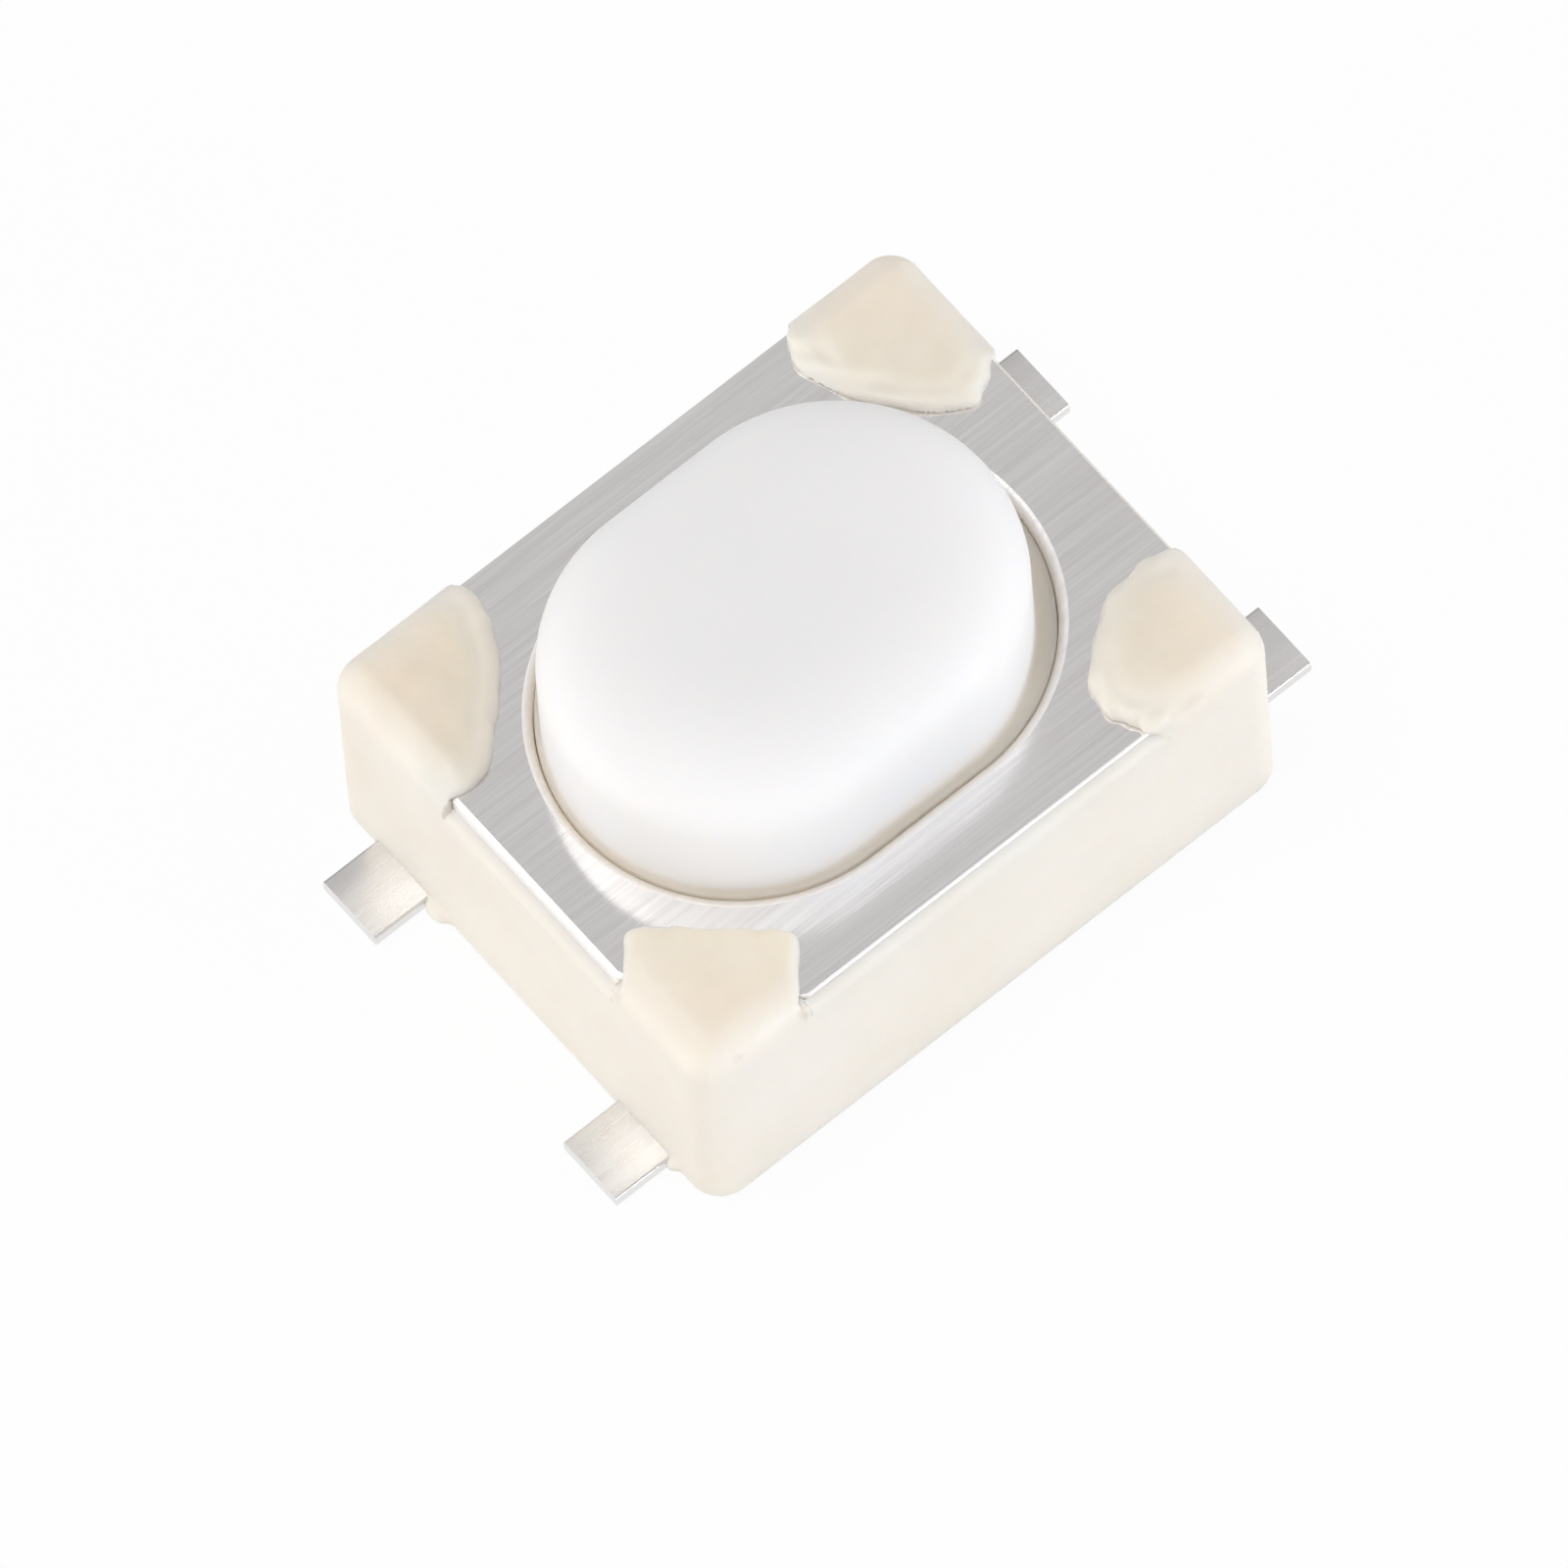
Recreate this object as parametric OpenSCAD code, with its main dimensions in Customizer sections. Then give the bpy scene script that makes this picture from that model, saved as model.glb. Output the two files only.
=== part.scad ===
// Low tactile switch for surface mounting, with an oval push button.
// The origin is the middle of the board plane. X runs along the long side and Z points away from the board.
// Six pieces: a moulded housing with four melted corner posts, a stamped cover, the button,
// a snap dome and two lead frames that the housing is moulded round.

/* [Housing] */
// Length of the housing, along X
housing_l = 4.1; // [4.1:0.05:4.6]
// Width of the housing, along Y
housing_w = 3.3; // [3.3:0.05:3.8]
// Height of the ledge that carries the cover
seat_z = 1.4; // [1.35:0.05:1.8]
// Radius of the upright corners
corner_r = 0.2; // [0.1:0.02:0.24]
// Gap between the board and the underside of the housing
stand_off = 0.02; // [0.02:0.01:0.08]
// Height of the floor under the snap dome
floor_z = 0.5; // [0.4:0.05:0.55]
// Diameter of the wells that the pins of the mould leave under the lead frames
pin_well_d = 0.34; // [0.28:0.02:0.4]

/* [Melted posts] */
// Length of a corner post along the long side
post_l = 0.72; // [0.62:0.02:0.76]
// Length of a corner post along the short side
post_w = 0.78; // [0.68:0.02:0.82]
// Straight part of a post before its inner side turns to the diagonal
post_step = 0.22; // [0.16:0.02:0.3]
// Height of a melted head above the cover
head_h = 0.12; // [0.11:0.01:0.18]
// Radius of the edge of a head over the cover
head_edge_r = 0.09; // [0.05:0.01:0.1]
// Radius of the shoulder where the walls of the housing run up into a head
shoulder_r = 0.22; // [0.14:0.02:0.26]
// Inner sides of the head at -X -Y: direction from the corner in degrees, 0 along X, and distance
head_sides_1 = [[138, 0.48], [48, 0.965], [-41, 0.5]];
// Inner sides of the head at +X -Y
head_sides_2 = [[102, 0.8], [66, 0.98], [38, 1.04], [-8, 0.92], [-50, 0.5]];
// Inner sides of the head at +X +Y
head_sides_3 = [[130, 0.66], [72, 1.13], [42, 1.04], [12, 0.95], [-35, 0.63]];
// Inner sides of the head at -X +Y
head_sides_4 = [[100, 1.02], [46, 0.99], [22, 0.98], [-14, 0.94], [-40, 0.66]];

/* [Cover] */
// Thickness of the steel cover
cover_t = 0.2; // [0.15:0.01:0.25]
// How far the cover stands back from each side of the housing
cover_inset = 0.07; // [0.05:0.01:0.1]
// Radius that stamping leaves on the cover's upper edges
die_roll_r = 0.04; // [0.02:0.005:0.05]
// Clearance between the cover and each corner post
post_fit = 0.03; // [0.02:0.005:0.05]

/* [Button] */
// Length of the oval button
button_l = 2.89; // [2.7:0.05:2.95]
// Width of the oval button
button_w = 2.16; // [1.9:0.05:2.2]
// Height of the whole switch, from the board to the top of the button at rest
switch_h = 2.55; // [2.3:0.05:2.8]
// Radius of the rounded upper edge of the button
button_edge_r = 0.32; // [0.1:0.02:0.4]
// Clearance between the button and the long sides of its opening
side_gap = 0.06; // [0.05:0.01:0.1]
// Clearance between a centred button and each end of its opening
end_gap = 0.126; // [0.11:0.01:0.14]
// Where the loose button lies along its opening, off the middle
button_shift = -0.09; // [-0.1:0.01:0.1]
// How far the button's flange reaches out under the cover
flange_lip = 0.26; // [0.22:0.01:0.28]
// Thickness of the flange
flange_t = 0.25; // [0.18:0.01:0.28]
// Play between the flange and the cover at rest
flange_play = 0.02; // [0.01:0.005:0.03]
// Clearance between the flange and the walls of its cavity
cavity_gap = 0.05; // [0.04:0.01:0.06]
// Diameter of the nib that presses the dome
nib_d = 0.7; // [0.5:0.05:0.9]
// Gap between the nib and the dome at rest
nib_gap = 0.01; // [0.005:0.005:0.02]

/* [Snap dome] */
// Diameter of the dome
dome_d = 2.3; // [2.2:0.05:2.4]
// Thickness of the dome
dome_t = 0.05; // [0.04:0.005:0.06]
// How far the dome snaps down, which is the stroke of the button
dome_rise = 0.25; // [0.2:0.01:0.25]
// Clearance round the dome in its pocket
dome_gap = 0.04; // [0.03:0.01:0.05]

/* [Lead frames] */
// Thickness of the lead frames
lead_t = 0.1; // [0.08:0.01:0.15]
// Width of a solder terminal
lead_w = 0.46; // [0.4:0.02:0.54]
// Distance between the two terminals on one side, middle to middle
lead_pitch = 2.08; // [1.9:0.02:2.1]
// How far a terminal sticks out of the housing
lead_out = 0.44; // [0.3:0.02:0.6]
// How far the terminals' ends were cut off the middle, along X
lead_shift = 0.05; // [-0.1:0.01:0.1]
// Length of the slope that lifts a frame from the board to the floor
slope_l = 0.34; // [0.26:0.02:0.4]
// Thickness of the end wall that a terminal crosses before its slope
lead_cover_l = 0.3; // [0.24:0.02:0.34]
// Diameter of the contact in the middle
contact_d = 0.7; // [0.5:0.05:0.8]
// Width of the tongue that carries the middle contact
tongue_w = 0.36; // [0.3:0.02:0.44]
// Width of the two arms under the rim of the dome
arm_w = 0.34; // [0.28:0.02:0.4]
// How far past the middle the arms reach
arm_reach = 0.42; // [0.3:0.02:0.48]

/* [Hidden] */
$fn = 64;
// Small length by which a cut passes the face that it opens
past = 0.1;
cream = [0.95, 0.92, 0.86];
white = [0.93, 0.93, 0.94];
steel = [0.72, 0.72, 0.71];
silver = [0.84, 0.84, 0.83];

cover_l = housing_l - 2 * cover_inset;
cover_w = housing_w - 2 * cover_inset;
cover_top = seat_z + cover_t;
head_top = cover_top + head_h;
button_h = switch_h - cover_top;
opening_l = button_l + 2 * end_gap;
opening_w = button_w + 2 * side_gap;

flange_l = button_l + 2 * flange_lip;
flange_w = button_w + 2 * flange_lip;
flange_top = seat_z - flange_play;
flange_z = flange_top - flange_t;
cavity_l = flange_l + 2 * (cavity_gap + abs(button_shift));
cavity_w = flange_w + 2 * cavity_gap;
// The flange stops just above this step when the dome is pressed flat
step_z = flange_z - dome_rise - cavity_gap;
dome_top = floor_z + dome_rise + dome_t;
nib_z = dome_top + nib_gap;
nib_sink = flange_t / 2;

lead_end = housing_l / 2 + lead_out + lead_shift;
lead_start = -housing_l / 2 - lead_out + lead_shift;
slope_end = housing_l / 2 - lead_cover_l;
slope_start = slope_end - slope_l;
// The arms run under the rim of the dome, one at each side of the contact in the middle
arm_x = dome_d / 2 - arm_w / 2;

// Size of the bars whose common space is a head, enough to pass the walls everywhere
bar_l = 4;
head_sides = [head_sides_1, head_sides_2, head_sides_3, head_sides_4];
// Signs of X and Y at the corners, counter-clockwise from -X -Y
corners = [[-1, -1], [1, -1], [1, 1], [-1, 1]];

// Oval plate of length l and width w
module oval(l, w) {
    for (side = [-1, 1])
        translate([side * (l - w) / 2, 0])
            circle(d = w);
    square([l - w, w], center = true);
}

// Solid with the half section of its children swept round an oval whose ends are straight apart
module swept_oval(straight) {
    for (side = [-1, 1])
        translate([side * straight / 2, 0, 0])
            rotate_extrude()
                children();
    rotate([90, 0, 90])
        linear_extrude(height = straight, center = true) {
            children();
            mirror([1, 0])
                children();
        }
}

// Rectangle with round corners
module round_rect(l, w, r) {
    square([l - 2 * r, w], center = true);
    square([l, w - 2 * r], center = true);
    for (c = corners)
        translate([c[0] * (l / 2 - r), c[1] * (w / 2 - r)])
            circle(r = r);
}

// Section l wide and h high, with its two upper corners rounded
module rolled_section(l, h, r) {
    translate([-l / 2, 0])
        square([l, h - r]);
    translate([r - l / 2, 0])
        square([l - 2 * r, h]);
    for (side = [-1, 1])
        translate([side * (l / 2 - r), h - r])
            circle(r = r);
}

// Block of length l, width w and height h whose upper edges are rounded on all four sides
module rolled_block(l, w, h, r) {
    intersection() {
        rotate([90, 0, 0])
            linear_extrude(height = w, center = true)
                rolled_section(l, h, r);
        rotate([90, 0, 90])
            linear_extrude(height = l, center = true)
                rolled_section(w, h, r);
    }
}

// Corner outline at +X +Y: two straight sides with a diagonal between them
module corner_outline(reach_x, reach_y, step, outward = 0) {
    ex = housing_l / 2;
    ey = housing_w / 2;
    polygon([
        [ex + outward, ey + outward],
        [ex - reach_x, ey + outward],
        [ex - reach_x, ey - step],
        [ex - step, ey - reach_y],
        [ex + outward, ey - reach_y]
    ]);
}

// Turns a shape drawn for +X +Y to another corner
module at_corner(c) {
    mirror([c[0] < 0 ? 1 : 0, 0, 0])
        mirror([0, c[1] < 0 ? 1 : 0, 0])
            children();
}

// A corner post with the head that has spread from it over the cover
module post_and_head(sides) {
    intersection() {
        union() {
            translate([0, 0, seat_z - past])
                linear_extrude(height = cover_t + past)
                    corner_outline(post_l, post_w, post_step);
            melted_head(sides);
            melted_lip(sides);
        }
        linear_extrude(height = head_top)
            round_rect(housing_l, housing_w, corner_r);
        rolled_block(housing_l, housing_w, head_top, shoulder_r);
    }
}

// Head as the space that wide bars with rounded edges share; its outer sides pass the walls
module melted_head(sides) {
    translate([housing_l / 2, housing_w / 2, cover_top])
        intersection_for(s = sides)
            rotate([0, 0, 180 + s[0]])
                translate([s[1] - bar_l / 2, 0, 0])
                    rotate([90, 0, 0])
                        linear_extrude(height = bar_l, center = true)
                            rolled_section(bar_l, head_h, head_edge_r);
}

// Lip under a head, where the melt has run down between the cover and the outer walls
module melted_lip(sides) {
    translate([0, 0, seat_z - past])
        linear_extrude(height = cover_t + past)
            difference() {
                translate([housing_l / 2, housing_w / 2])
                    intersection_for(s = sides)
                        rotate(180 + s[0])
                            translate([s[1] - bar_l / 2, 0])
                                square(bar_l, center = true);
                square([cover_l + 2 * post_fit, cover_w + 2 * post_fit], center = true);
            }
}

// Space over the floor for the dome, and above it the wider one for the flange
module cavity() {
    translate([0, 0, floor_z])
        cylinder(d = dome_d + 2 * dome_gap, h = seat_z - floor_z);
    translate([0, 0, step_z])
        linear_extrude(height = seat_z - step_z + past)
            oval(cavity_l, cavity_w);
}

// Wells in the underside where the pins of the mould held the two frames
module pin_wells() {
    for (side = [-1, 1])
        translate([0, side * lead_pitch / 2, stand_off - past])
            cylinder(d = pin_well_d, h = floor_z - lead_t - stand_off + past);
}

module housing() {
    color(cream) {
        difference() {
            translate([0, 0, stand_off])
                linear_extrude(height = seat_z - stand_off)
                    round_rect(housing_l, housing_w, corner_r);
            cavity();
            pin_wells();
            centre_frame();
            outer_frame();
        }
        for (i = [0 : 3])
            at_corner(corners[i])
                post_and_head(head_sides[i]);
    }
}

module cover() {
    color(steel)
        translate([0, 0, seat_z])
            difference() {
                rolled_block(cover_l, cover_w, cover_t, die_roll_r);
                for (c = corners)
                    at_corner(c)
                        translate([-post_fit, -post_fit, -past])
                            linear_extrude(height = cover_t + 2 * past)
                                corner_outline(post_l, post_w, post_step, past);
                swept_oval(opening_l - opening_w)
                    opening_section();
            }
}

// Half section of the cover's opening, which widens where stamping rounds its upper edge
module opening_section() {
    r = opening_w / 2;
    translate([0, -past])
        square([r, cover_t + 2 * past]);
    difference() {
        translate([0, cover_t - die_roll_r])
            square([r + die_roll_r, die_roll_r + past]);
        translate([r + die_roll_r, cover_t - die_roll_r])
            circle(r = die_roll_r);
    }
}

// Half section of the button, with a flange at its foot and a rounded upper edge
module button_section() {
    r = button_w / 2;
    top = cover_top + button_h;
    translate([0, flange_z])
        square([r + flange_lip, flange_t]);
    translate([0, flange_z])
        square([r, top - button_edge_r - flange_z]);
    translate([0, flange_z])
        square([r - button_edge_r, top - flange_z]);
    translate([r - button_edge_r, top - button_edge_r])
        circle(r = button_edge_r);
}

module button() {
    color(white) {
        translate([button_shift, 0, 0])
            swept_oval(button_l - button_w)
                button_section();
        translate([0, 0, nib_z])
            cylinder(d = nib_d, h = flange_z - nib_z + nib_sink);
    }
}

module snap_dome() {
    r = dome_d / 2;
    rise = dome_rise + dome_t;
    ball_r = (r * r + rise * rise) / (2 * rise);
    color(steel)
        rotate_extrude($fn = 96)
            intersection() {
                translate([0, dome_top - ball_r])
                    difference() {
                        circle(r = ball_r, $fn = 360);
                        circle(r = ball_r - dome_t, $fn = 360);
                    }
                translate([0, floor_z])
                    square([r, rise + past]);
            }
}

// Side view of a frame along X: flat under the floor, down a slope at each end and out to the terminals
module frame_side() {
    low = lead_t;
    high = floor_z - lead_t;
    polygon([
        [-slope_start, floor_z], [slope_start, floor_z], [slope_end, low], [lead_end, low],
        [lead_end, 0], [slope_end, 0], [slope_start, high],
        [-slope_start, high], [-slope_end, 0], [lead_start, 0],
        [lead_start, low], [-slope_end, low]
    ]);
}

// Strip with a terminal at each end, on the side of the given sign of Y
module frame_strip(side) {
    translate([0, side * lead_pitch / 2, 0])
        rotate([90, 0, 0])
            linear_extrude(height = lead_w, center = true)
                frame_side();
}

// Places a flat outline at the level of the floor
module at_floor() {
    translate([0, 0, floor_z - lead_t])
        linear_extrude(height = lead_t)
            children();
}

module centre_frame() {
    frame_strip(1);
    at_floor() {
        circle(d = contact_d);
        translate([-tongue_w / 2, 0])
            square([tongue_w, lead_pitch / 2]);
    }
}

module outer_frame() {
    frame_strip(-1);
    at_floor()
        for (side = [-1, 1])
            translate([side * arm_x - arm_w / 2, -lead_pitch / 2])
                square([arm_w, lead_pitch / 2 + arm_reach]);
}

module centre_contact() {
    color(silver)
        centre_frame();
}

module outer_contact() {
    color(silver)
        outer_frame();
}

housing();
cover();
button();
snap_dome();
centre_contact();
outer_contact();
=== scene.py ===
"""Looks of a surface-mounted tactile switch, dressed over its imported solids.

All sizes are in millimetres in the functions that shape a piece; the finished meshes are in metres.
The frame is the part's own: the board is at z = 0, X runs along the long side and Z points up.
"""

import math

import bmesh
import bpy
import numpy as np
from mathutils import Matrix, Vector


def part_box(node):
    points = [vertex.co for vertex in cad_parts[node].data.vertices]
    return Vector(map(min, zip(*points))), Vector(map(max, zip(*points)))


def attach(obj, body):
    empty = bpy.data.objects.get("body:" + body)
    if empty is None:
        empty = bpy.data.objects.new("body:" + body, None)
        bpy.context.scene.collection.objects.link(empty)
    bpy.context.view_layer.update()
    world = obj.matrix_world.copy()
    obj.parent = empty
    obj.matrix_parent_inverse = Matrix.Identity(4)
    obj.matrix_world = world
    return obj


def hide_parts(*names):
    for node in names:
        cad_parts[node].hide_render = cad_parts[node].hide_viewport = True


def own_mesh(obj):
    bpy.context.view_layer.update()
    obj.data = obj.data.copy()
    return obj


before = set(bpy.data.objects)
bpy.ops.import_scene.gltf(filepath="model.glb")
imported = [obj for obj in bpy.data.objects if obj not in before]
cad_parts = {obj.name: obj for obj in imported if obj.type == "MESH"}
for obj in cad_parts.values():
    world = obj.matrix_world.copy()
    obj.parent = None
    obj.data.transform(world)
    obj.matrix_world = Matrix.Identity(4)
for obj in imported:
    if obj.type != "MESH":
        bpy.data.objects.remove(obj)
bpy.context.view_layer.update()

MM = 0.001


def box_mm(node):
    """Lowest and highest corner of a CAD node, in millimetres."""
    low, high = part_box(node)
    return np.array(low) / MM, np.array(high) / MM


HOUSING_LOW, HOUSING_HIGH = box_mm("housing")
COVER_LOW, COVER_HIGH = box_mm("cover")
BUTTON_LOW, BUTTON_HIGH = box_mm("button")
DOME_LOW, DOME_HIGH = box_mm("snap_dome")
LEAD_LOW, LEAD_HIGH = box_mm("outer_contact")

HALF_L, HALF_W = HOUSING_HIGH[0], HOUSING_HIGH[1]
STAND_OFF = HOUSING_LOW[2]
SEAT_Z, COVER_TOP = COVER_LOW[2], COVER_HIGH[2]
HEAD_TOP = HOUSING_HIGH[2]
FLOOR_Z = DOME_LOW[2]
CORNER_R = 0.2
SEAT_EDGE_R, FOOT_EDGE_R = 0.02, 0.015

# Corner posts and the heads that were melted over the cover, as distances from the housing's own corner
POST_L, POST_W, POST_STEP = 0.72, 0.78, 0.22
POST_FIT = 0.03
SHOULDER_R = 0.22
# Rim squeezed out round each head: its width, how far it lies lower, how brown and how lumpy it is;
# then how brown the punch left the face
RIM_W = [0.07, 0.15, 0.13, 0.14]
RIM_DROP = 0.022
RIM_TINT = [0.8, 0.25, 0.3, 0.5]
RIM_LUMPS = [0.01, 0.03, 0.034, 0.016]
SCORCH = [0.85, 0.85, 0.75, 1.0]
# Waves of the melt: height and length on the face, length on the rim and along the face's outline, and
# how much they change the rim's width
SWELL, SWELL_WAVE, LUMP_WAVE, OUTLINE_WAVE, RIM_VARIES = 0.01, 0.45, 0.16, 0.3, 0.35
SWELL_SEED, OUTLINE_SEED, LUMP_SEED, FLASH_SEED = 11, 31, 51, 71
# Rounding of the rim and of the punched face, and how softly face, rim and shoulder run together
RIM_R, FACE_R, MELT_BLEND, SHOULDER_BLEND, SIDE_BLEND = 0.085, 0.06, 0.07, 0.02, 0.1
FACE_DROP = 0.011
# Melt between the posts and the cover: its play beside the cover, how far it stays under the cover's top,
# how deep the post's root goes into the walls and how far the post reaches up into its head
MELT_PLAY, MELT_DROP, POST_ROOT, HEAD_ROOT = 0.004, 0.01, 0.2, 0.03
CORNERS = [(-1, -1), (1, -1), (1, 1), (-1, 1)]
# Sides of each head's inner outline: direction in degrees from the long side, and distance from the corner
HEAD_SIDES = [
    [(138, 0.48), (48, 0.965), (-41, 0.5)],
    [(102, 0.8), (66, 0.98), (38, 1.04), (-8, 0.92), (-50, 0.5)],
    [(130, 0.66), (72, 1.13), (42, 1.04), (12, 0.95), (-35, 0.63)],
    [(100, 1.02), (46, 0.99), (22, 0.98), (-14, 0.94), (-40, 0.66)],
]

# Button, its flange and its nib
BUTTON_L, BUTTON_W = 2.89, 2.16
BUTTON_X = (BUTTON_LOW[0] + BUTTON_HIGH[0]) / 2
BUTTON_TOP = BUTTON_HIGH[2]
# Bend of the upper edge, how much gentler it gets from SOFT_FROM degrees on, and the soft crown over the
# solid's flat top
BUTTON_EDGE_R, CROWN_BEND, BUTTON_CROWN = 0.30, 2.6, 0.05
SOFT_FROM = 50
FLANGE_LIP, FLANGE_T, FLANGE_PLAY, FLANGE_EDGE = 0.26, 0.25, 0.02, 0.02
SKIRT_PLAY = 0.006
# Groove in the skirt round the button: share of the gap outwards, and depth under the cover's top. It has
# its full depth towards FAR_SIDE and the share NEAR_GROOVE of it elsewhere.
GROOVE = [(1, 0.065), (0.94, 0.045), (0.7, 0.035), (0.4, 0.02), (0.15, 0)]
FAR_SIDE, NEAR_GROOVE = math.radians(35), 0.3
# Height over the cover where the groove ends, where the warm painted shade of the recess ends, and over
# which that shade fades
GROOVE_END, RECESS_SHADE_END, RECESS_SHADE_FADE = 0.03, 0.05, 0.06
NIB_D, NIB_EDGE, NIB_ROOT = 0.7, 0.04, 0.1
RING_POINTS = 192
OPENING_L, OPENING_W, OPENING_X = 3.07, 2.28, -0.035
CAVITY_GAP, STROKE = 0.05, 0.25
FLANGE_TOP = SEAT_Z - FLANGE_PLAY
FLANGE_Z = FLANGE_TOP - FLANGE_T
STEP_Z = FLANGE_Z - STROKE - CAVITY_GAP
CAVITY_L = BUTTON_L + 2 * FLANGE_LIP + 2 * (CAVITY_GAP + abs(BUTTON_X))
CAVITY_W = BUTTON_W + 2 * (FLANGE_LIP + CAVITY_GAP)
POCKET_PLAY, POCKET_DROP = 0.04, 0.01
# Cover: turn of its cut corners, the share of its sides under the shear line, how far they stand in there,
# and the rounding that stamping left on its upper edges
CUT_R, SHEAR_SHARE, SHEAR_IN = 0.06, 0.35, 0.004
END_ROLL_R, SIDE_ROLL_R, FAR_ROLL_R, OPENING_ROLL_R = 0.03, 0.015, 0.002, 0.06
# Flash of the moulding on the ledge beside the cover, at its low X end and its low Y side: how far its
# top lies under the cover's, how it slopes, and how tightly it holds the cover
FLASH_DROP_END, FLASH_DROP_SIDE, FLASH_SLOPE, FLASH_BITE = 0.1, 0.02, 0.8, 0.012
FLASH_EDGE_R, FLASH_ROOT, FLASH_WAVE, FLASH_WAVE_H = 0.04, 0.1, 0.5, 0.006

# Dome
DOME_T = 0.05

# Leads
LEAD_T, LEAD_W, LEAD_PITCH = 0.1, 0.46, 2.08
LEAD_BEND_R, LEAD_EDGE_R, PLATE_EDGE = 0.14, 0.018, 0.015
PIN_WELL_R = 0.17
SLOPE_END, SLOPE_START = HALF_L - 0.3, HALF_L - 0.64
CONTACT_D, TONGUE_W, ARM_W, ARM_REACH = 0.7, 0.36, 0.34, 0.42


# Meshes

def new_object(name, data):
    """Object in the scene that shows this mesh, lamp or camera."""
    made = bpy.data.objects.new(name, data)
    bpy.context.scene.collection.objects.link(made)
    return made


def mesh_object(name, points, faces, material):
    """New smooth object from points in millimetres."""
    mesh = bpy.data.meshes.new(name)
    mesh.from_pydata([tuple(p) for p in np.asarray(points, float) * MM], [], [tuple(f) for f in faces])
    mesh.materials.append(material)
    mesh.shade_smooth()
    return new_object(name, mesh)


def take_modifier(piece, modifier):
    """Gives the piece the mesh that its modifier makes, and takes the modifier off."""
    bpy.context.view_layer.update()
    made = piece.evaluated_get(bpy.context.evaluated_depsgraph_get())
    mesh = bpy.data.meshes.new_from_object(made)
    piece.modifiers.remove(modifier)
    piece.data = mesh
    return mesh


def paint(mesh, name, values):
    """Number at each point of a mesh, which a material reads by its name."""
    layer = mesh.attributes.new(name, "FLOAT", "POINT")
    layer.data.foreach_set("value", values.astype(np.float32))


def dress(piece, body, slot, *nodes):
    """Ties a finished piece to its body and hides the CAD nodes it stands for; the slot is not used."""
    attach(piece, body)
    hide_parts(*nodes)


def ring_angles(n=RING_POINTS):
    """Directions of the points of a ring, as radians."""
    return (np.arange(n) + 0.5) * 2 * math.pi / n


def oval_ring(length, width, inset, n=RING_POINTS):
    """Points round an oval plate of that length and width, drawn in by inset."""
    r = np.maximum(width / 2 - inset, 1e-4)
    straight = (length - width) / 2
    angles = ring_angles(n)
    x = r * np.cos(angles) + np.where(np.cos(angles) > 0, straight, -straight)
    return np.stack([x, r * np.sin(angles)], 1)


def stack_rings(rings):
    """Points and faces of a closed skin through rings of equal count; each ring is an (n, 3) array."""
    n = len(rings[0])
    points = np.concatenate(rings)
    faces = []
    for k in range(len(rings) - 1):
        a, b = k * n, (k + 1) * n
        faces += [(a + i, a + (i + 1) % n, b + (i + 1) % n, b + i) for i in range(n)]
    faces.append(tuple(reversed(range(n))))
    faces.append(tuple(range((len(rings) - 1) * n, len(rings) * n)))
    return points, faces


def arc(steps, start, end):
    """Angles from start to end in degrees, as radians."""
    return np.radians(np.linspace(start, end, steps))


# Distance fields

def rounded_rectangle(x, y, half_l, half_w, r):
    """Distance to the outline of a rectangle with round corners."""
    qx, qy = np.abs(x) - half_l + r, np.abs(y) - half_w + r
    outside = np.hypot(np.maximum(qx, 0), np.maximum(qy, 0))
    return outside + np.minimum(np.maximum(qx, qy), 0) - r


def oval_distance(x, y, length, width):
    """Distance to the outline of an oval with straight long sides."""
    return np.hypot(np.maximum(np.abs(x) - (length - width) / 2, 0), y) - width / 2


def round_meet(a, b, r):
    """Common space of two shapes, with a round edge of radius r."""
    a, b = a + r, b + r
    return np.hypot(np.maximum(a, 0), np.maximum(b, 0)) + np.minimum(np.maximum(a, b), 0) - r


def smooth_meet(a, b, k):
    """Common space of two shapes, whose edge melts away over k."""
    h = np.clip(0.5 - 0.5 * (b - a) / k, 0, 1)
    return b + (a - b) * h + k * h * (1 - h)


def smooth_join(a, b, k):
    """Both shapes as one, with the corner between them filled over k."""
    return -smooth_meet(-a, -b, k)


def blob(x, y, z, centre, radii):
    """Rough distance to an ellipsoid."""
    q = np.sqrt(sum(((c - m) / r) ** 2 for c, m, r in zip((x, y, z), centre, radii)))
    return (q - 1) * min(radii)


def ripple(x, y, z, scale, seed):
    """Soft random waves of about that wavelength, between -1 and 1."""
    waves = np.random.default_rng(seed).normal(size=(6, 3))
    phases = np.random.default_rng(seed + 1).uniform(0, 2 * math.pi, 6)
    total = 0
    for w, p in zip(waves, phases):
        total = total + np.sin((w[0] * x + w[1] * y + w[2] * z) * 3.4 / scale + p)
    return total / 6


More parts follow.
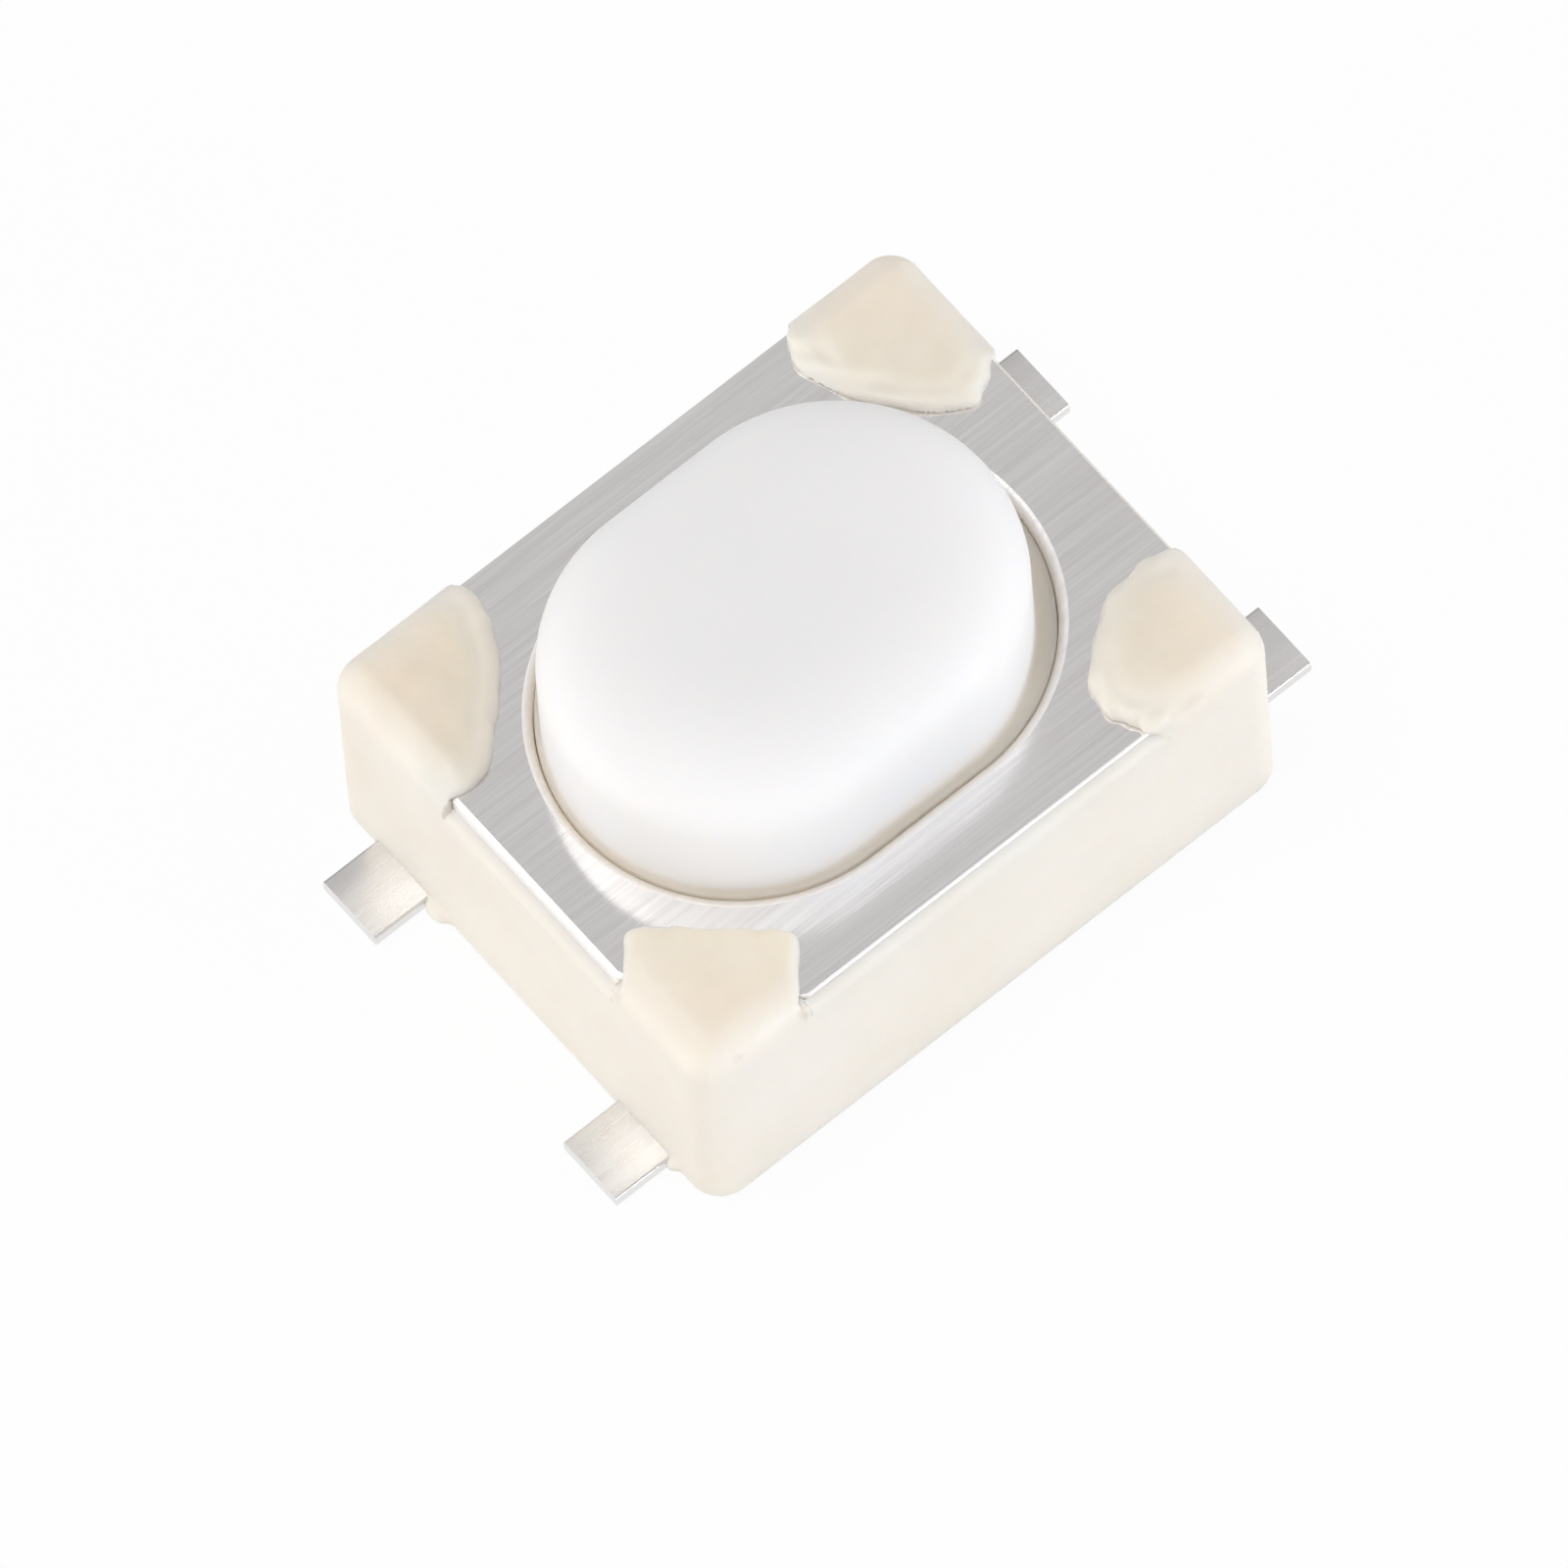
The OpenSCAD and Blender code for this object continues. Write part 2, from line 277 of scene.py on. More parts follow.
def surface_net(field, low, step):
    """Closed skin of the space where field is below zero, as points and quads, from a regular grid."""
    inside = field < 0
    corners = [(i, j, k) for i in (0, 1) for j in (0, 1) for k in (0, 1)]
    nx, ny, nz = (n - 1 for n in field.shape)
    count = sum(inside[i:i + nx, j:j + ny, k:k + nz].astype(np.int8) for i, j, k in corners)
    cells = np.argwhere((count > 0) & (count < 8))
    number = np.full((nx, ny, nz), -1, np.int64)
    number[tuple(cells.T)] = np.arange(len(cells))
    total, hits = np.zeros((len(cells), 3)), np.zeros(len(cells))
    for a in corners:
        for axis in range(3):
            if a[axis]:
                continue
            b = tuple(v + (1 if d == axis else 0) for d, v in enumerate(a))
            fa = field[tuple((cells + a).T)]
            fb = field[tuple((cells + b).T)]
            cross = (fa < 0) != (fb < 0)
            t = np.where(cross, fa / np.where(cross, fa - fb, 1), 0)
            place = np.array(a, float)[None] + t[:, None] * np.eye(3)[axis]
            total += place * cross[:, None]
            hits += cross
    points = low + step * (cells + total / hits[:, None])
    quads = []
    for axis in range(3):
        u, v = (axis + 1) % 3, (axis + 2) % 3
        ends = [slice(None)] * 3
        ends[axis] = slice(0, -1)
        far = [slice(None)] * 3
        far[axis] = slice(1, None)
        cross = np.argwhere(inside[tuple(ends)] != inside[tuple(far)])
        cross = cross[(cross[:, u] > 0) & (cross[:, v] > 0)]
        starts_inside = inside[tuple(cross.T)]
        around = []
        for du, dv in ((1, 1), (0, 1), (0, 0), (1, 0)):
            c = cross.copy()
            c[:, u] -= du
            c[:, v] -= dv
            around.append(number[tuple(c.T)])
        ring = np.stack(around, 1)
        ring[~starts_inside] = ring[~starts_inside][:, ::-1]
        quads.append(ring)
    return points, np.concatenate(quads)


def gradient(shape, points, eps=0.004):
    """Unit outward direction of a distance field at points."""
    g = np.zeros((len(points), 3))
    for axis in range(3):
        step = np.zeros(3)
        step[axis] = eps
        g[:, axis] = shape(*(points + step).T) - shape(*(points - step).T)
    return g / np.maximum(np.linalg.norm(g, axis=1), 1e-9)[:, None]


# Materials

def new_material(name):
    """Material with an empty node tree but for its Principled BSDF and output."""
    material = bpy.data.materials.new(name)
    material.use_nodes = True
    return material, material.node_tree, material.node_tree.nodes["Principled BSDF"]


def add(tree, kind, inputs=(), **settings):
    """New node with its settings and the plain values of its inputs."""
    node = tree.nodes.new(kind)
    for key, value in settings.items():
        setattr(node, key, value)
    for key, value in dict(inputs).items():
        node.inputs[key].default_value = value
    return node


def object_noise(tree, scale, stretch=(1, 1, 1), detail=4, roughness=0.55):
    """Noise over Object coordinates; scale is in waves for each metre."""
    place = add(tree, "ShaderNodeTexCoord")
    mapping = add(tree, "ShaderNodeMapping", {"Scale": stretch})
    noise = add(tree, "ShaderNodeTexNoise", {"Scale": scale, "Detail": detail, "Roughness": roughness})
    tree.links.new(place.outputs["Object"], mapping.inputs["Vector"])
    tree.links.new(mapping.outputs["Vector"], noise.inputs["Vector"])
    return noise.outputs["Fac"]


def ramp(tree, value, stops):
    """Colours or greys along a value; stops are (place, colour)."""
    node = add(tree, "ShaderNodeValToRGB")
    elements = node.color_ramp.elements
    while len(elements) < len(stops):
        elements.new(0.5)
    for element, (place, colour) in zip(elements, stops):
        element.position = place
        element.color = (*colour, 1) if len(colour) == 3 else (colour[0],) * 3 + (1,)
    tree.links.new(value, node.inputs["Fac"])
    return node.outputs["Color"]


def spread(tree, value, low, high):
    """Turns a noise value into a number between low and high."""
    ends = {"From Min": 0.3, "From Max": 0.7, "To Min": low, "To Max": high}
    node = add(tree, "ShaderNodeMapRange", ends)
    tree.links.new(value, node.inputs["Value"])
    return node.outputs["Result"]


def mix_colour(tree, factor, a, b, mode="MIX"):
    """Mix of two colours; of the node's sockets only those for colours are enabled."""
    node = add(tree, "ShaderNodeMix", data_type="RGBA", blend_type=mode)
    sockets = [s for s in node.inputs if s.enabled]
    for socket, value in zip(sockets, (factor, a, b)):
        if isinstance(value, bpy.types.NodeSocket):
            tree.links.new(value, socket)
        else:
            socket.default_value = value if isinstance(value, (int, float)) else (*value, 1)
    return next(s for s in node.outputs if s.enabled)


def bump(tree, shader, height, distance, strength):
    """Fine relief of a shader; distance is in metres."""
    node = add(tree, "ShaderNodeBump", {"Strength": strength, "Distance": distance})
    tree.links.new(height, node.inputs["Height"])
    tree.links.new(node.outputs["Normal"], shader.inputs["Normal"])


def set_inputs(shader, values):
    """Plain values of a shader's sockets."""
    for name, value in values.items():
        shader.inputs[name].default_value = value


def cream_plastic():
    """Glass-filled cream moulding; 'melt' says how brown the hot punch left it, and the pit attribute how
    much painted shade darkens a pit.
    """
    material, tree, shader = new_material("cream moulded plastic")
    clouds = object_noise(tree, 900, detail=3)
    colour = ramp(tree, clouds, [(0.3, (0.845, 0.785, 0.695)), (0.7, (0.88, 0.835, 0.765))])
    melt = add(tree, "ShaderNodeAttribute", attribute_name="melt")
    mottle = object_noise(tree, 2600, detail=5)
    tan = ramp(tree, mottle, [(0.3, (0.825, 0.725, 0.585)), (0.7, (0.875, 0.79, 0.665))])
    colour = mix_colour(tree, melt.outputs["Fac"], colour, tan)
    # Painted shade: each pit is darkened towards brown, as if it lay in shadow.
    pit_shade = add(tree, "ShaderNodeAttribute", attribute_name="pit_shade")
    colour = mix_colour(tree, pit_shade.outputs["Fac"], colour, (0.36, 0.22, 0.10))
    tree.links.new(colour, shader.inputs["Base Color"])
    tree.links.new(spread(tree, object_noise(tree, 4000), 0.42, 0.6), shader.inputs["Roughness"])
    bump(tree, shader, object_noise(tree, 14000, detail=6), 0.004 * MM, 0.6)
    set_inputs(shader, {"Subsurface Weight": 0.35, "Subsurface Radius": (1.0, 0.75, 0.5),
                        "Subsurface Scale": 0.2 * MM})
    return material


def white_plastic():
    """Satin white moulding; the recess attribute is 1 where it lies down in the cover's opening, and there a
    warm painted shade stands in for the shadow and the light bounced off the cream moulding.
    """
    material, tree, shader = new_material("white button plastic")
    clouds = object_noise(tree, 500, detail=2)
    colour = ramp(tree, clouds, [(0.3, (0.855, 0.855, 0.86)), (0.7, (0.88, 0.88, 0.885))])
    # Painted shade: warmer and darker down in the opening, for its shadow and the light bounced off the
    # cream moulding.
    recess_shade = add(tree, "ShaderNodeAttribute", attribute_name="recess_shade")
    colour = mix_colour(tree, recess_shade.outputs["Fac"], colour, (0.98, 0.84, 0.70))
    tree.links.new(colour, shader.inputs["Base Color"])
    tree.links.new(spread(tree, object_noise(tree, 3000), 0.4, 0.5), shader.inputs["Roughness"])
    bump(tree, shader, object_noise(tree, 9000, detail=5), 0.002 * MM, 0.5)
    set_inputs(shader, {"Specular IOR Level": 0.15, "Subsurface Weight": 0.9,
                        "Subsurface Radius": (1.0, 0.9, 0.8), "Subsurface Scale": 0.5 * MM})
    return material


def brushed_steel(name, dark, light, line_pitch, roughness, anisotropy, relief):
    """Steel with fine lines along X; their pitch and their relief are in millimetres."""
    material, tree, shader = new_material(name)
    waves = 1 / (line_pitch * MM)
    lines = object_noise(tree, waves, stretch=(0.02, 1, 1), detail=5, roughness=0.7)
    middle = tuple((a + b) / 2 for a, b in zip(dark, light))
    colour = ramp(tree, lines, [(0.3, dark), (0.5, middle), (0.68, light)])
    tree.links.new(colour, shader.inputs["Base Color"])
    set_inputs(shader, {"Metallic": 1.0, "Anisotropic": anisotropy})
    tree.links.new(spread(tree, lines, roughness + 0.06, roughness - 0.06), shader.inputs["Roughness"])
    if anisotropy:
        tangent = add(tree, "ShaderNodeTangent", direction_type="UV_MAP", uv_map="grain")
        tree.links.new(tangent.outputs["Tangent"], shader.inputs["Tangent"])
    bump(tree, shader, lines, relief * MM, 0.5)
    return material


CREAM = cream_plastic()
WHITE = white_plastic()
COVER_STEEL = brushed_steel("brushed cover steel", (0.83, 0.815, 0.81), (0.985, 0.975, 0.975),
                            line_pitch=0.026, roughness=0.11, anisotropy=0.88, relief=0.0008)
SHEARED = brushed_steel("sheared steel edge", (0.90, 0.88, 0.87), (0.98, 0.97, 0.96),
                        line_pitch=0.05, roughness=0.55, anisotropy=0.0, relief=0.0004)
LEAD_SILVER = brushed_steel("silver plated lead", (0.78, 0.77, 0.76), (0.80, 0.79, 0.78),
                            line_pitch=0.06, roughness=0.27, anisotropy=0.0, relief=0.00004)
DOME_STEEL = brushed_steel("dome spring steel", (0.60, 0.59, 0.57), (0.74, 0.73, 0.7),
                           line_pitch=0.05, roughness=0.24, anisotropy=0.0, relief=0.0004)


# Housing

def corner_places(x, y, corner):
    """Distances inwards from the housing's corner, along X and along Y."""
    return HALF_L - corner[0] * x, HALF_W - corner[1] * y


def head_plan(x, y, corner, sides):
    """Distance to the inner outline of a melted head, whose corners have melted round."""
    u, v = corner_places(x, y, corner)
    plan = None
    for angle, reach in sides:
        a = math.radians(angle)
        side = u * math.cos(a) + v * math.sin(a) - reach
        plan = side if plan is None else smooth_meet(plan, side, SIDE_BLEND)
    return plan


def post_plan(x, y, corner):
    """Distance to the outline of a post, whose inner corner is cut off slantwise."""
    u, v = corner_places(x, y, corner)
    slant = (v - POST_W) * (POST_L - POST_STEP) + (u - POST_STEP) * (POST_W - POST_STEP)
    slant = slant / math.hypot(POST_L - POST_STEP, POST_W - POST_STEP)
    return np.maximum(np.maximum(u - POST_L, v - POST_W), slant)


def plateau_plan(x, y, z, number, corner):
    """Distance to the outline of the face that the hot punch left on a head."""
    wave = ripple(x, y, z, OUTLINE_WAVE, OUTLINE_SEED + number)
    return head_plan(x, y, corner, HEAD_SIDES[number]) + RIM_W[number] * (1 + RIM_VARIES * wave)


def melted_post(x, y, z, wall, number, corner):
    """Post, the melt between the cover and the walls, and the head with its squeezed-out rim."""
    swell = SWELL * ripple(x, y, z, SWELL_WAVE, SWELL_SEED + number)
    lump = RIM_LUMPS[number] * ripple(x, y, z, LUMP_WAVE, LUMP_SEED + number)
    top = z - HEAD_TOP + FACE_DROP + swell
    shoulder = round_meet(wall, top, SHOULDER_R)
    plan = head_plan(x, y, corner, HEAD_SIDES[number])
    rim = round_meet(plan + lump, z - HEAD_TOP + RIM_DROP + 0.5 * lump, RIM_R)
    plateau = round_meet(plateau_plan(x, y, z, number, corner), top, FACE_R)
    head = smooth_meet(smooth_join(rim, plateau, MELT_BLEND), shoulder, SHOULDER_BLEND)
    head = np.maximum(head, COVER_TOP - z)
    beside = -np.maximum(np.abs(x) - COVER_HIGH[0], np.abs(y) - COVER_HIGH[1]) + MELT_PLAY
    lip = np.maximum(np.maximum(plan, beside), shoulder)
    post = post_plan(x, y, corner)
    gap_fill = np.maximum(post - POST_FIT - FLASH_BITE, z - COVER_TOP + MELT_DROP)
    post = np.maximum(np.minimum(post, gap_fill), shoulder)
    span = np.maximum(SEAT_Z - POST_ROOT - z, z - COVER_TOP - HEAD_ROOT)
    foot = np.maximum(np.minimum(lip, post), span)
    return np.minimum(head, foot)


# Small pits and lumps of the moulding: centre and radii; then how strong the painted shade in the pits is,
# and how softly the pits, that painted shade and the lumps end
PITS = [((1.45, -1.63, 1.66), (0.11, 0.045, 0.045)), ((-1.79, -1.65, 1.61), (0.03, 0.03, 0.025)),
        ((-2.055, -0.88, 1.57), (0.02, 0.02, 0.035)), ((-1.34, -1.645, 1.57), (0.02, 0.02, 0.045)),
        ((1.9, 1.66, 1.55), (0.04, 0.03, 0.03))]
LUMPS = [((1.25, -1.56, 1.64), (0.1, 0.06, 0.055)), ((-2.0, 0.86, 1.55), (0.04, 0.06, 0.04)),
         ((-2.05, 0.73, 0.07), (0.07, 0.1, 0.05)), ((-2.04, -1.3, 0.07), (0.06, 0.05, 0.04)),
         ((2.04, 0.76, 0.07), (0.05, 0.06, 0.04)), ((2.04, -0.78, 0.07), (0.04, 0.06, 0.03))]
PIT_SHADE, PIT_BLEND, PIT_SHADE_FADE, LUMP_BLEND = 0.22, 0.015, 0.04, 0.03


def flash(x, y, z, wall):
    """Thin fin that the moulding pushed up along the cover's sides."""
    past_end, past_side = np.abs(x) - COVER_HIGH[0], np.abs(y) - COVER_HIGH[1]
    outwards = np.maximum(past_end, past_side)
    none = COVER_TOP - SEAT_Z
    end_drop = np.where(x < 0, FLASH_DROP_END, none)
    side_drop = np.where(y < 0, FLASH_DROP_SIDE, none)
    drop = np.where(past_end > past_side, end_drop, side_drop)
    wave = FLASH_WAVE_H * ripple(x, y, z, FLASH_WAVE, FLASH_SEED)
    top = z - COVER_TOP + drop + FLASH_SLOPE * outwards + wave
    fin = np.maximum(round_meet(wall, top, FLASH_EDGE_R), -FLASH_BITE - outwards)
    return np.maximum(fin, SEAT_Z - FLASH_ROOT - z)


def housing_shape(x, y, z):
    """Distance field of the moulding."""
    wall = rounded_rectangle(x, y, HALF_L, HALF_W, CORNER_R)
    body = round_meet(wall, z - SEAT_Z, SEAT_EDGE_R)
    body = round_meet(body, STAND_OFF - z, FOOT_EDGE_R)
    body = np.minimum(body, flash(x, y, z, wall))
    flange = oval_distance(x, y, CAVITY_L, CAVITY_W)
    body = np.maximum(body, -np.maximum(flange, STEP_Z - z))
    pocket = np.hypot(x, y) - (DOME_HIGH[0] + POCKET_PLAY)
    body = np.maximum(body, -np.maximum(pocket, FLOOR_Z - POCKET_DROP - z))
    for number, corner in enumerate(CORNERS):
        body = np.minimum(body, melted_post(x, y, z, wall, number, corner))
    for side in (-1, 1):
        well = np.hypot(x, y - side * LEAD_PITCH / 2) - PIN_WELL_R
        body = np.maximum(body, -np.maximum(well, z - FLOOR_Z + LEAD_T))
    for centre, radii in PITS:
        body = smooth_meet(body, -blob(x, y, z, centre, radii), PIT_BLEND)
    for centre, radii in LUMPS:
        body = smooth_join(body, blob(x, y, z, centre, radii), LUMP_BLEND)
    return body


def make_housing():
    """The moulding: a net over its field, drawn onto the true surface and then thinned."""
    step, margin = 0.02, 0.05
    low = np.array([-HALF_L - 0.13, -HALF_W - margin, STAND_OFF - 0.045])
    high = np.array([HALF_L + 0.13, HALF_W + margin, HEAD_TOP + margin])
    size = np.ceil((high - low) / step).astype(int) + 1
    axes = [low[i] + step * np.arange(size[i]) for i in range(3)]
    x, y, z = np.meshgrid(*axes, indexing="ij", sparse=True)
    points, quads = surface_net(housing_shape(x, y, z), low, step)
    for _ in range(2):
        g = gradient(housing_shape, points)
        points = points - 0.9 * housing_shape(*points.T)[:, None] * g
    piece = mesh_object("housing_moulding", points, quads, CREAM)
    thin = piece.modifiers.new("thin", "DECIMATE")
    thin.ratio = 0.42
    mesh = take_modifier(piece, thin)
    mesh.shade_smooth()
    mark_housing(mesh)
    dress(piece, "switch_body", "housing_plastic", "housing")


def mark_housing(mesh):
    """Sets the smooth normals, the marks of melting and the painted shade in the pits."""
    co = np.zeros(len(mesh.vertices) * 3)
    mesh.vertices.foreach_get("co", co)
    points = co.reshape(-1, 3) / MM
    g = gradient(housing_shape, points, 0.003)
    mesh.normals_split_custom_set_from_vertices([tuple(n) for n in g])
    x, y, z = points.T
    from_wall = -rounded_rectangle(x, y, HALF_L, HALF_W, CORNER_R)
    up = np.clip((g[:, 2] - 0.6) / 0.35, 0, 1)
    melt = np.zeros(len(points))
    for number, corner in enumerate(CORNERS):
        near = (corner[0] * x > 0) & (corner[1] * y > 0) & (z > COVER_TOP + 0.03)
        inside = np.clip(0.45 - plateau_plan(x, y, z, number, corner) / 0.14, 0, 1)
        tint = RIM_TINT[number] + (SCORCH[number] - RIM_TINT[number]) * inside
        melt += near * tint * up * np.clip((from_wall - 0.05) / SHOULDER_R, 0, 1)
    # Painted shade in and round each pit.
    pit_shade = np.zeros(len(points))
    for centre, radii in PITS:
        near = np.clip(0.6 - blob(x, y, z, centre, radii) / PIT_SHADE_FADE, 0, 1)
        pit_shade = np.maximum(pit_shade, PIT_SHADE * near)
    paint(mesh, "melt", melt)
    paint(mesh, "pit_shade", pit_shade)


# Button

def gap_round_button():
    """Width of the gap between the button and the cover's opening, at the points of oval_ring()."""
    angles = ring_angles()
    opening_end, button_end = (OPENING_L - OPENING_W) / 2, (BUTTON_L - BUTTON_W) / 2
    right, left = (side * (opening_end - button_end) + OPENING_X - BUTTON_X for side in (1, -1))
    return (OPENING_W - BUTTON_W) / 2 + np.cos(angles) * np.where(np.cos(angles) > 0, right, left)


def groove_depth():
    """Share of its full depth that the groove round the button has, at the points of oval_ring()."""
    far = np.clip(2 * np.cos(ring_angles() - FAR_SIDE), 0, 1)
    return NEAR_GROOVE + (1 - NEAR_GROOVE) * far * far * (3 - 2 * far)


def button_profile():
    """Insets and heights of the button's upper edge, which turns ever more gently towards the crown."""
    tilt = arc(49, 0, 90)
    gentle = np.clip((tilt - math.radians(SOFT_FROM)) / math.radians(90 - SOFT_FROM), 0, 1)
    bend = BUTTON_EDGE_R + CROWN_BEND * gentle ** 3
    middle = (tilt[1:] + tilt[:-1]) / 2
    step = (bend[1:] + bend[:-1]) / 2 * np.diff(tilt)
    insets = np.concatenate([[0], np.cumsum(step * np.sin(middle))])
    rises = np.concatenate([[0], np.cumsum(step * np.cos(middle))])
    return insets, rises


def make_button():
    """Oval cap with a soft upper edge, a flange the cover holds in and a nib for the dome."""
    half_w = BUTTON_W / 2
    section = [(-FLANGE_LIP + FLANGE_EDGE, FLANGE_Z), (-FLANGE_LIP, FLANGE_Z + FLANGE_EDGE)]
    section += [(-FLANGE_LIP, FLANGE_TOP - FLANGE_EDGE), (-FLANGE_LIP + FLANGE_EDGE, FLANGE_TOP)]
    gap = gap_round_button() - SKIRT_PLAY
    section.append((-gap, FLANGE_TOP))
    for share, drop in GROOVE:
        section.append((-share * gap, COVER_TOP - drop * groove_depth()))
    section.append((0, COVER_TOP + GROOVE_END))
    insets, rises = button_profile()
    shoulder_z = BUTTON_TOP + BUTTON_CROWN - rises[-1]
    section += [(0, shoulder_z - below) for below in (0.4, 0.2, 0.1)]
    section += [(i, shoulder_z + rise) for i, rise in zip(insets, rises)]
    inner_insets = np.linspace(insets[-1] + 0.03, 0.985 * half_w, 6)
    section += [(i, BUTTON_TOP + BUTTON_CROWN) for i in inner_insets]
    rings = []
    for inset, z in section:
        ring = oval_ring(BUTTON_L, BUTTON_W, inset)
        heights = np.broadcast_to(z, len(ring))
        rings.append(np.column_stack([ring[:, 0] + BUTTON_X, ring[:, 1], heights]))
    points, faces = stack_rings(rings)
    cap = mesh_object("button_cap", points, faces, WHITE)
    # Warm painted shade on the cap where it lies down in the opening.
    paint(cap.data, "recess_shade", np.clip((COVER_TOP + RECESS_SHADE_END - points[:, 2]) / RECESS_SHADE_FADE, 0, 1))
    nib_rings = []
    for r, z in ((NIB_D / 2 - NIB_EDGE, BUTTON_LOW[2]), (NIB_D / 2, BUTTON_LOW[2] + NIB_EDGE),
                 (NIB_D / 2, FLANGE_Z + NIB_ROOT)):
        ring = oval_ring(2 * r, 2 * r, 0, 64)
        nib_rings.append(np.column_stack([ring, np.full(len(ring), z)]))
    nib = mesh_object("button_nib", *stack_rings(nib_rings), WHITE)
    piece = join([cap, nib], "push_button")
    dress(piece, "button", "button_plastic", "button")


def join(pieces, name):
    """Joins objects at the origin into one mesh."""
    bm = bmesh.new()
    for piece in pieces:
        bm.from_mesh(piece.data)
    mesh = bpy.data.meshes.new(name)
    bm.to_mesh(mesh)
    bm.free()
    for material in pieces[0].data.materials:
        mesh.materials.append(material)
    for piece in pieces:
        bpy.data.objects.remove(piece)
    return new_object(name, mesh)


# Cover

def rounded_outline(points, radius, steps=5):
    """Outline of a polygon, counter-clockwise, whose corners are turned with a small radius."""
    out = []
    n = len(points)
    for i in range(n):
        p, a, b = (np.array(points[k % n], float) for k in (i, i - 1, i + 1))
        ua, ub = (a - p) / np.linalg.norm(a - p), (b - p) / np.linalg.norm(b - p)
        half = math.acos(np.clip(ua @ ub, -1, 1)) / 2
        back = radius / math.tan(half)
        middle = p + (ua + ub) / np.linalg.norm(ua + ub) * radius / math.sin(half)
        start, end = p + ua * back - middle, p + ub * back - middle
        turn = math.atan2(start[0] * end[1] - start[1] * end[0], start @ end)
        for t in np.linspace(0, 1, steps):
            c, s = math.cos(turn * t), math.sin(turn * t)
            out.append(middle + np.array([c * start[0] - s * start[1], s * start[0] + c * start[1]]))
    return np.array(out)


def inset_outline(points, distance):
    """The outline moved inwards by distance, along the mean direction of its two sides."""
    ahead = np.roll(points, -1, 0) - points
    ahead /= np.linalg.norm(ahead, axis=1)[:, None]
    behind = np.roll(ahead, 1, 0)
    normals = np.stack([-ahead[:, 1], ahead[:, 0]], 1)
    before = np.stack([-behind[:, 1], behind[:, 0]], 1)
    mean = normals + before
    mean /= np.linalg.norm(mean, axis=1)[:, None]
    stretch = 1 / np.maximum((mean * normals).sum(1), 0.5)
    return points + mean * (distance * stretch)[:, None]


def cover_outline():
    """Counter-clockwise outline of the cover, cut back at each corner for a post."""
    half_l, half_w = COVER_HIGH[0], COVER_HIGH[1]
    u_far, v_far = POST_L + POST_FIT, POST_W + POST_FIT
    step = POST_STEP + POST_FIT
    notch = [(u_far, None), (u_far, step), (step, v_far), (None, v_far)]
    points = []
    for corner in CORNERS:
        places = []
        for u, v in notch:
            x = corner[0] * (HALF_L - u if u is not None else half_l)
            y = corner[1] * (HALF_W - v if v is not None else half_w)
            places.append((x, y))
        points += places if corner[0] * corner[1] < 0 else places[::-1]
    return points


def rolled_edge(r):
    """Quarter round of a stamped edge, as distances inwards and heights; r may differ along the edge."""
    return [(r * (1 - math.cos(a)), COVER_TOP - r + r * math.sin(a)) for a in arc(9, 0, 90)]


def make_cover():
    """Stamped plate: sheared sides under a rolled upper edge, an oval opening, and a flat brushed top."""
    outline = rounded_outline(cover_outline(), CUT_R)
    bm = bmesh.new()
    shear_z = COVER_LOW[2] + SHEAR_SHARE * (COVER_TOP - COVER_LOW[2])
    foot = [(SHEAR_IN, COVER_LOW[2]), (SHEAR_IN, shear_z - 0.02), (0.0, shear_z + 0.01)]
    near_end, near_side = (outline[:, k] < 0.02 - COVER_HIGH[k] for k in (0, 1))
    roll = np.where(near_end, END_ROLL_R, np.where(near_side, SIDE_ROLL_R, FAR_ROLL_R))
    outer_levels = foot + rolled_edge(roll)
    outer = []
    for inset, z in outer_levels:
        heights = np.broadcast_to(z, len(outline))
        outer.append([bm.verts.new((*p, h)) for p, h in zip(inset_outline(outline, inset), heights)])
    inner = []
    for inset, z in foot + rolled_edge(OPENING_ROLL_R):
        ring = oval_ring(OPENING_L, OPENING_W, -inset)
        inner.append([bm.verts.new((x + OPENING_X, y, z)) for x, y in ring])
    for rings, flip in ((outer, False), (inner, True)):
        for k in range(len(outer_levels) - 1):
            a, b = rings[k], rings[k + 1]
            for i in range(len(a)):
                j = (i + 1) % len(a)
                quad = [a[i], a[j], b[j], b[i]]
                face = bm.faces.new(quad[::-1] if flip else quad)
                face.smooth = True
                face.material_index = 1
    for z_index, up in ((-1, 1), (0, -1)):
        edges = []
        for ring in (outer[z_index], inner[z_index]):
            edges += [bm.edges.get((ring[i], ring[(i + 1) % len(ring)])) for i in range(len(ring))]
        made = bmesh.ops.triangle_fill(bm, edges=edges, use_beauty=True, normal=(0, 0, up))
        for face in (g for g in made["geom"] if isinstance(g, bmesh.types.BMFace)):
            face.smooth = False
    bmesh.ops.recalc_face_normals(bm, faces=bm.faces)
    grain = bm.loops.layers.uv.new("grain")
    grain_tile = 5
    for face in bm.faces:
        for loop in face.loops:
            loop[grain].uv = (loop.vert.co.y / grain_tile + 0.5, loop.vert.co.x / grain_tile + 0.5)
    bm.transform(Matrix.Scale(MM, 4))
    mesh = bpy.data.meshes.new("cover_plate")
    bm.to_mesh(mesh)
    bm.free()
    mesh.materials.append(COVER_STEEL)
    mesh.materials.append(SHEARED)
    dress(new_object("cover_plate", mesh), "switch_body", "cover_steel", "cover")


# Dome

